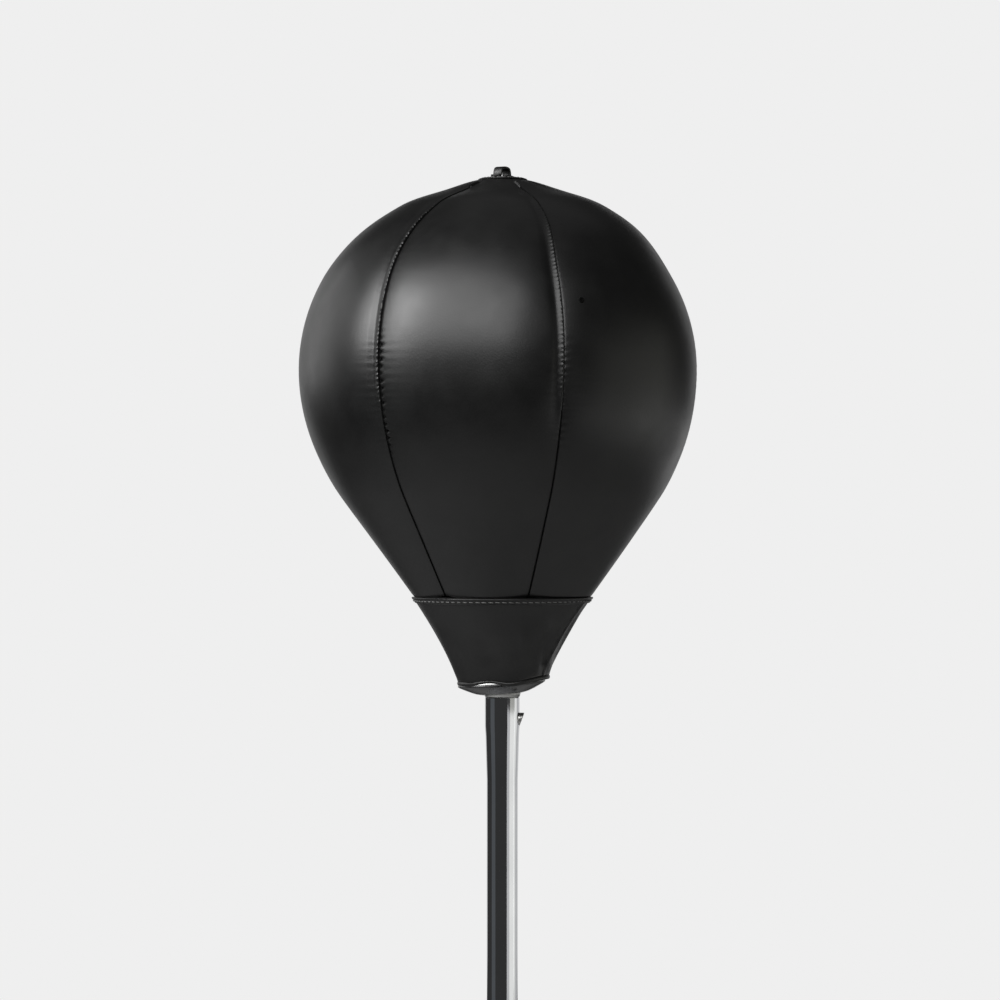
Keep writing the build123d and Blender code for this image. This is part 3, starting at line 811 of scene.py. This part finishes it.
def collar_radius(level):
    t = np.clip((level - HEM_LEVEL) / (SEAM_LEVEL - HEM_LEVEL), 0, 1)
    straight = COLLAR_END_RADIUS + (COLLAR_TOP_RADIUS - COLLAR_END_RADIUS) * t
    return straight - 4 * COLLAR_HOLLOW * t**0.8 * (1 - t**0.8)


def fold(angle, share, centre, width, slope, foot, head):
    """One soft diagonal fold in the collar's leather, as a height from -1 to 1."""
    offset = (angle - centre - slope * share + math.pi) % TAU - math.pi
    along = smooth_step(share, foot - 0.2, foot) * (1 - smooth_step(share, head, head + 0.3))
    return np.exp(-((offset / width) ** 2)) * along


FOLD_RANDOM = np.random.RandomState(7)
FOLDS = [
    (
        TAU * i / 13 + FOLD_RANDOM.uniform(-0.2, 0.2),
        FOLD_RANDOM.uniform(0.1, 0.24),
        FOLD_RANDOM.uniform(-0.7, 0.7),
        FOLD_RANDOM.uniform(0.0, 0.35),
        FOLD_RANDOM.uniform(0.35, 0.75),
        FOLD_RANDOM.choice([-1.0, 0.6]) * FOLD_RANDOM.uniform(0.0007, 0.0015),
    )
    for i in range(13)
]


def side_seam(angle, share):
    """Overlap of the collar's two ends: a step with a sunk line beside it."""
    centre = SIDE_SEAM_FOOT + (SIDE_SEAM_TOP - SIDE_SEAM_FOOT) * share
    offset = (angle - centre + math.pi) % TAU - math.pi
    reach = offset * 0.04
    step = 0.0007 * smooth_step(reach, -0.0002, 0.0002) * (1 - smooth_step(reach, 0.0002, 0.006))
    groove = -0.0006 * np.exp(-((reach / 0.0005) ** 2))
    return step + groove


def collar_surface(angle, share):
    """A point on the collar. share runs from its lower edge, 0, to the ball's seam, 1."""
    low = HEM_LEVEL + edge_rise(angle)
    level = low + (SEAM_LEVEL - low) * share
    height = side_seam(angle, share)
    for centre, width, slope, foot, head, size in FOLDS:
        height = height + size * fold(angle, share, centre, width, slope, foot, head)
    height = height * smooth_step(share, -0.2, 0.12)
    radius = collar_radius(HEM_LEVEL + (SEAM_LEVEL - HEM_LEVEL) * share) + height * 0.85
    aside = HEM_SHIFT * (1 - share)
    return np.stack([radius * np.cos(angle) + aside, radius * np.sin(angle), level - height * 0.5], -1)


def collar_columns():
    """Angles around the collar, closer together at the side seam."""
    even = np.linspace(0, TAU, COLLAR_STEPS, endpoint=False)
    return even - 0.12 * np.sin(even - SIDE_SEAM_FOOT)


def collar_part(name, low, high, rows):
    angles = collar_columns()
    shares = np.linspace(low, high, rows)
    grid = np.array([collar_surface(angles, share) for share in shares])
    piece = grid_object(name, grid, around=True)
    thicken(piece, COLLAR_LEATHER)
    paint(piece, TRIM)
    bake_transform(piece)
    return piece


def collar():
    split = (COLLAR_SPLIT - HEM_LEVEL) / (SEAM_LEVEL - HEM_LEVEL)
    lower = collar_part(
        "collar_lower", 0.0, split, 60
    )
    upper = collar_part(
        "collar_upper", split, 0.996, 44
    )
    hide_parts("collar")
    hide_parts("collar")


def collar_welt():
    """Folded leather band, sewn on just below the ball's seam, a little uneven."""
    angles = np.linspace(0, TAU, 288, endpoint=False)
    section = [(0.0, -0.0002), (0.0003, 0.0), (0.0006, -0.0004), (0.0008, -0.0009)]
    section += [(0.0006, -0.0014), (0.0004, -0.0019), (0.0006, -0.0026), (0.0005, -0.0033)]
    section += [(0.0002, -0.0037), (0.0, -0.0034)]
    ripple = 1 + 0.14 * np.sin(angles * 85) + 0.18 * np.sin(angles * 9 + 1)
    rows = []
    for out, drop in section:
        level = SEAM_LEVEL + drop * (1 + 0.08 * np.sin(angles * 5))
        radius = collar_radius(SEAM_LEVEL + drop) + 0.0002 + out * ripple
        rows.append(np.stack([radius * np.cos(angles), radius * np.sin(angles), level], -1))
    faces = [f[::-1] for f in ring_faces(len(section), len(angles))]
    piece = new_object("seam_welt", np.array(rows).reshape(-1, 3), faces)
    paint(piece, TRIM)
    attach(piece, "ball")
    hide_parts("collar_welt")


def welt_stitches():
    level = SEAM_LEVEL - 0.0021
    r = collar_radius(level) + 0.00065
    ends = []
    for s in range(WELT_STITCH_COUNT):
        a, b = TAU * s / WELT_STITCH_COUNT, TAU * (s + 0.6) / WELT_STITCH_COUNT
        first = (r * math.cos(a), r * math.sin(a), level)
        last_end = (r * math.cos(b), r * math.sin(b), level - 0.0002)
        ends.append((first, last_end, (math.cos(a), math.sin(a), 0)))
    sewn = stitches("welt_stitches", ends, 0.00034)
    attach(sewn, "ball")


def collar_hem():
    """Rolled edge around the collar's lower end, thinner where it is pulled up in front."""
    steps, sides = 192, 14
    angles = np.linspace(0, TAU, steps, endpoint=False)
    turn = np.linspace(0, TAU, sides, endpoint=False)
    front = front_pull(angles)
    half_height = 0.00147 * (1 - 0.6 * front) * (1 + 0.05 * np.sin(angles * 7))
    half_width = 0.001 * (1 - 0.3 * front)
    middle = HEM_LEVEL - 0.0001 + edge_rise(angles) - half_height
    rows = []
    for t in turn:
        radius = COLLAR_END_RADIUS - 0.0008 + half_width * np.cos(t)
        level = middle + half_height * np.sin(t)
        x = radius * np.cos(angles) + HEM_SHIFT
        rows.append(np.stack([x, radius * np.sin(angles), level], -1))
    grid = np.array(rows).transpose(1, 0, 2)
    piece = new_object("hem_roll", grid.reshape(-1, 3), ring_faces(steps, sides))
    paint(piece, TRIM)
    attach(piece, "upper_pole")
    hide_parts("collar_hem")


# ---------------------------------------------------------------- spring and its seat

DISH_TILT = math.radians(4.2)
SEAT_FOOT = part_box("seat_dish")[0].z


def tilted(piece):
    """Tilts a piece of the seat up on its +X side."""
    pivot = Vector((0, 0, SEAT_FOOT))
    turn = Matrix.Rotation(-DISH_TILT, 4, "Y")
    piece.data.transform(Matrix.Translation(pivot) @ turn @ Matrix.Translation(-pivot))
    return piece


def seat_dish():
    """Gloss painted bowl under the spring's seat, with a rolled rim."""
    low = SEAT_FOOT - 0.0004
    outline = [
        (0.01225, low + 0.0003),
        (0.0126, low),
        (0.0165, low + 0.0009),
        (0.02, low + 0.0023),
        (0.0232, low + 0.0038),
        (0.0258, low + 0.0051),
        (0.0269, low + 0.0058),
        (0.0272, low + 0.0063),
        (0.0269, low + 0.0068),
        (0.0262, low + 0.0068),
        (0.0248, low + 0.0061),
        (0.0218, low + 0.0047),
        (0.0182, low + 0.0032),
        (0.0126, low + 0.0018),
        (0.01225, low + 0.0014),
    ]
    piece = tilted(lathe("seat_pan", outline[::-1], 128))
    paint(piece, PAINT)
    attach(piece, "upper_pole")
    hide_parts("seat_dish")


def seat_ring():
    """Bare steel ring in the dish's rim. Its sloping side shows where the hem is pulled up."""
    low = SEAT_FOOT + 0.0058
    outline = [(0.0246, low), (0.027, low + 0.0004), (0.0271, low + 0.0009), (0.0262, low + 0.0029)]
    outline += [(0.0259, low + 0.0031), (0.0246, low + 0.0031)]
    piece = crisp(tilted(lathe("seat_ring", outline[::-1], 128)))
    paint(piece, ZINC)
    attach(piece, "upper_pole")


SPRING_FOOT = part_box("rebound_spring")[0].z
SPRING_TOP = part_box("rebound_spring")[1].z
WIRE_RADIUS = 0.00275
COIL_RADIUS = 0.01725
SPRING_TURNS = 10


def spring_seat():
    """Turned steel plug: a core inside the coil, a flange under it and a neck to the pole."""
    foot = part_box("spring_seat")[0].z
    core_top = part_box("spring_seat")[1].z
    flange = SPRING_FOOT - 0.0001
    outline = [
        (0.0002, foot),
        (0.0101, foot),
        (0.0107, foot + 0.0004),
        (0.0114, foot + 0.0024),
        (0.0115, flange - 0.0019),
        (0.0216, flange - 0.0018),
        (0.022, flange - 0.0015),
        (0.022, flange - 0.0004),
        (0.0216, flange),
        (0.0143, flange),
        (0.0143, core_top - 0.001),
        (0.0133, core_top),
        (0.0002, core_top),
    ]
    piece = lathe("spring_plug", outline[::-1], 128)
    paint(piece, ZINC)
    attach(piece, "upper_pole")
    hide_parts("spring_seat")


def spring_half(name, first, last):
    """Part of the coil, from one share of its turns to another."""
    shares = np.linspace(first, last, 240)
    turn = TAU * SPRING_TURNS * shares
    rise = SPRING_TOP - SPRING_FOOT - 2 * WIRE_RADIUS
    level = SPRING_FOOT + WIRE_RADIUS + rise * shares
    path = np.stack([COIL_RADIUS * np.cos(turn), COIL_RADIUS * np.sin(turn), level], 1)
    piece = tube_along(name, path, WIRE_RADIUS - 0.00003, 14)
    paint(piece, SPRING_STEEL)
    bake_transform(piece)
    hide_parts("rebound_spring")


def spring():
    split = (COLLAR_SPLIT - SPRING_FOOT) / (SPRING_TOP - SPRING_FOOT)
    spring_half("coil_lower", 0.0, split)
    spring_half("coil_upper", split + 0.0005, 1.0)


# ---------------------------------------------------------------- poles and snap button


TUBE_WALL = 0.0012
UPPER_RADIUS = 0.009525
WIDE_RADIUS = 0.01065  # the upper tube's widened top
WIDENS_FROM = 1.028
WIDE_FROM = 1.061
LOWER_RADIUS = 0.0111


def upper_pole():
    """Chrome tube, widened towards its top, with a rolled rim."""
    low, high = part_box("upper_pole")[0].z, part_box("upper_pole")[1].z
    thin, wide = UPPER_RADIUS, WIDE_RADIUS
    outline = [
        (thin - TUBE_WALL, low + 0.0002),
        (thin - 0.0003, low),
        (thin, low + 0.0003),
        (thin, WIDENS_FROM),
        (thin + 0.0003, WIDENS_FROM + 0.01),
        (wide - 0.0004, WIDE_FROM - 0.0065),
        (wide, WIDE_FROM),
        (wide, high - 0.0003),
        (wide - 0.0003, high),
        (wide - TUBE_WALL, high),
        (wide - TUBE_WALL, WIDE_FROM + 0.0005),
        (thin - TUBE_WALL, WIDENS_FROM),
    ]
    piece = lathe("chrome_tube_upper", outline[::-1], 160)
    crisp(piece)
    paint(piece, CHROME)
    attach(piece, "upper_pole")
    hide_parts("upper_pole")


def lower_pole():
    """Outer chrome tube with a rolled rim."""
    low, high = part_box("lower_pole")[0].z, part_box("lower_pole")[1].z
    outline = [
        (LOWER_RADIUS - TUBE_WALL, low + 0.0002),
        (LOWER_RADIUS - 0.0003, low),
        (LOWER_RADIUS, low + 0.0003),
        (LOWER_RADIUS, high - 0.0003),
        (LOWER_RADIUS - 0.0003, high),
        (LOWER_RADIUS - TUBE_WALL, high - 0.0002),
    ]
    piece = lathe("chrome_tube_outer", outline[::-1], 160)
    crisp(piece)
    paint(piece, CHROME_LOWER)
    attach(piece, "stand")
    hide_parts("lower_pole")


BUTTON_LEVEL = 1.065
BUTTON_RADIUS = 0.0043
BUTTON_RAMP = 0.0033


def snap_button():
    """Round pin through the tube's wall. Its end slopes, so that its upper side stands out."""
    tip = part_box("snap_button")[1].x
    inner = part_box("snap_button")[0].x
    turn = np.linspace(0, TAU, 48, endpoint=False)
    rows = []
    section = [(0.9, -0.001, False), (1.0, -0.0004, False), (1.0, -0.0007, True)]
    section += [(0.97, -0.0003, True), (0.9, -0.00005, True), (0.5, 0.0, True), (0.02, 0.0, True)]
    for share, back, sloping in section:
        y = BUTTON_RADIUS * share * np.cos(turn)
        z = BUTTON_RADIUS * share * np.sin(turn)
        slope = BUTTON_RAMP * (0.5 - z / (2 * BUTTON_RADIUS))
        x = tip - slope + back if sloping else inner + 0.001 + back + 0 * turn
        rows.append(np.stack([x, y, z + BUTTON_LEVEL], -1))
    grid = np.array(rows)
    piece = new_object("sprung_pin", grid.reshape(-1, 3), rod_faces(len(grid), len(turn)))
    paint(piece, ZINC)
    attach(piece, "snap_button")
    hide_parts("snap_button")


# x and z of the leaf spring's fold and of its two tips
LEAF_FOLD = (-0.0016, 1.048)
LEAF_FRONT_TOP = (0.003, 1.0664)
LEAF_BACK_TOP = (-0.0049, 1.0667)
LEAF_WIDTH = 0.007
LEAF_THICKNESS = 0.0008


def button_leaf():
    """Leaf spring bent into a V."""
    fold_x, fold_z = LEAF_FOLD
    path = [LEAF_BACK_TOP, (fold_x - 0.0012, fold_z + 0.0012), (fold_x, fold_z - 0.0012)]
    path += [(fold_x + 0.0012, fold_z + 0.0012), LEAF_FRONT_TOP]
    piece = strap("leaf_spring", smooth_path(path, 70), LEAF_WIDTH, LEAF_THICKNESS, 0.0002)
    piece.data.transform(Matrix.Rotation(-math.pi / 2, 4, "Z"))
    paint(piece, SPRING_STEEL)
    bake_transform(piece)
    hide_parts("button_spring")


# ---------------------------------------------------------------- camera, lights, floor


ROOM_LIGHT = 0.035
BACKDROP_LIGHT = 0.863
FLOOR_GLOW = 0.28


def look(obj, target):
    obj.rotation_euler = (Vector(target) - obj.location).to_track_quat("-Z", "Y").to_euler()


def camera():
    data = bpy.data.cameras.new("camera")
    data.lens = LENS
    data.sensor_width = SENSOR_WIDTH
    data.clip_end = 50
    made = bpy.data.objects.new("camera", data)
    made.location = VIEW_CENTRE + Vector((0, -VIEW_WIDTH * LENS / SENSOR_WIDTH, 0))
    look(made, VIEW_CENTRE)
    bpy.context.scene.collection.objects.link(made)
    bpy.context.scene.camera = made


def panel_light(name, place, target, size, radiance, colour=(1, 1, 1)):
    """A soft box. Its power comes from how bright its face should look."""
    data = bpy.data.lights.new(name, "AREA")
    data.shape = "RECTANGLE"
    data.size, data.size_y = size
    data.energy = radiance * math.pi * size[0] * size[1]
    data.color = colour
    made = bpy.data.objects.new(name, data)
    made.location = place
    look(made, target)
    made.visible_camera = False
    bpy.context.scene.collection.objects.link(made)


def world():
    """A plain pale backdrop for the camera, and a dimmer room for the light."""
    made = bpy.data.worlds.new("studio")
    made.use_nodes = True
    tree = made.node_tree
    room = tree.nodes["Background"]
    room.inputs["Color"].default_value = (ROOM_LIGHT, ROOM_LIGHT, ROOM_LIGHT, 1)
    backdrop = tree.nodes.new("ShaderNodeBackground")
    backdrop.inputs["Color"].default_value = (BACKDROP_LIGHT, BACKDROP_LIGHT, BACKDROP_LIGHT, 1)
    rays = tree.nodes.new("ShaderNodeLightPath")
    mix = tree.nodes.new("ShaderNodeMixShader")
    tree.links.new(rays.outputs["Is Camera Ray"], mix.inputs["Fac"])
    tree.links.new(room.outputs[0], mix.inputs[1])
    tree.links.new(backdrop.outputs[0], mix.inputs[2])
    tree.links.new(mix.outputs[0], tree.nodes["World Output"].inputs["Surface"])
    bpy.context.scene.world = made


def floor():
    """Pale paper. It has a faint glow that only the camera sees, so it stays pale out to its edge."""
    m = Nodes("floor_paper")
    m.colours(m.noise(3, 3), (0.52, 0.52, 0.52), (0.56, 0.56, 0.56))
    m.set(Roughness=0.8)
    m.bump(m.noise(400, 3), 0.0001, 0.2)
    m.set(Emission_Color=(FLOOR_GLOW, FLOOR_GLOW, FLOOR_GLOW, 1))
    m.link(m.node("ShaderNodeLightPath").outputs["Is Camera Ray"], m.shader.inputs["Emission Strength"])
    half = 2.6
    corners = [(-half, -half, 0), (half, -half, 0), (half, half, 0), (-half, half, 0)]
    made = new_object("floor", corners, [(0, 1, 2, 3)])
    paint(made, m.material)


BALL_CENTRE = (0, 0, BALL_LEVEL)
camera()
world()
floor()
panel_light("key_side", (-1.42, -0.56, 2.05), BALL_CENTRE, (0.75, 0.95), 9.5)
panel_light("key_front", (-0.55, -1.32, 2.3), BALL_CENTRE, (2.2, 1.36), 3.75)
panel_light("left_fill", (-1.6, 1.0, 1.75), BALL_CENTRE, (1.3, 1.2), 1.15)
panel_light("left_low", (-1.6, -0.6, 0.85), (0, 0, 0.9), (1.0, 0.5), 0.06, (0.8, 0.9, 1.0))
panel_light("right_fill", (1.9, -0.2, 1.15), (0, 0, 1.15), (2.2, 1.4), 0.36, (1.0, 1.0, 0.92))
panel_light("right_low", (1.05, -0.5, 0.83), (0, 0, 0.9), (1.35, 0.3), 0.52)
panel_light("right_back", (1.33, 0.8, 0.87), (0, 0, 0.9), (1.75, 0.4), 0.46)
panel_light("overhead", (0.2, 0.6, 3.1), BALL_CENTRE, (1.6, 1.6), 0.1)
panel_light("back", (0, 1.9, 1.35), (0, 0, 1.35), (2.6, 1.4), 0.5)

for gore in range(GORE_COUNT):
    gore_panel(gore)
bladder()
valve()
top_patch()
patch_stitches()
hanging_loop()
collar()
collar_welt()
welt_stitches()
collar_hem()
seat_dish()
seat_ring()
spring_seat()
spring()
upper_pole()
lower_pole()
snap_button()
button_leaf()

dress(TANK, "base_pan", "base_lid", "pole_socket")
dress(PLASTIC, "clamp_sleeve", "lock_knob", "filler_cap")
dress(RUBBER, "pole_grommet", "foot_pads", "cap_gasket")
dress(ZINC, "seat_cup", "seat_washer", "seat_bolt", "spring_cap", "spring_stub")
dress(ZINC, "pole_plug", "pole_washer", "pole_bolt", "knob_stud")
dress(NYLON, "guide_bush", "clamp_pad")
dress(BRASS, "clamp_insert")

bpy.context.scene.view_settings.view_transform = "Standard"
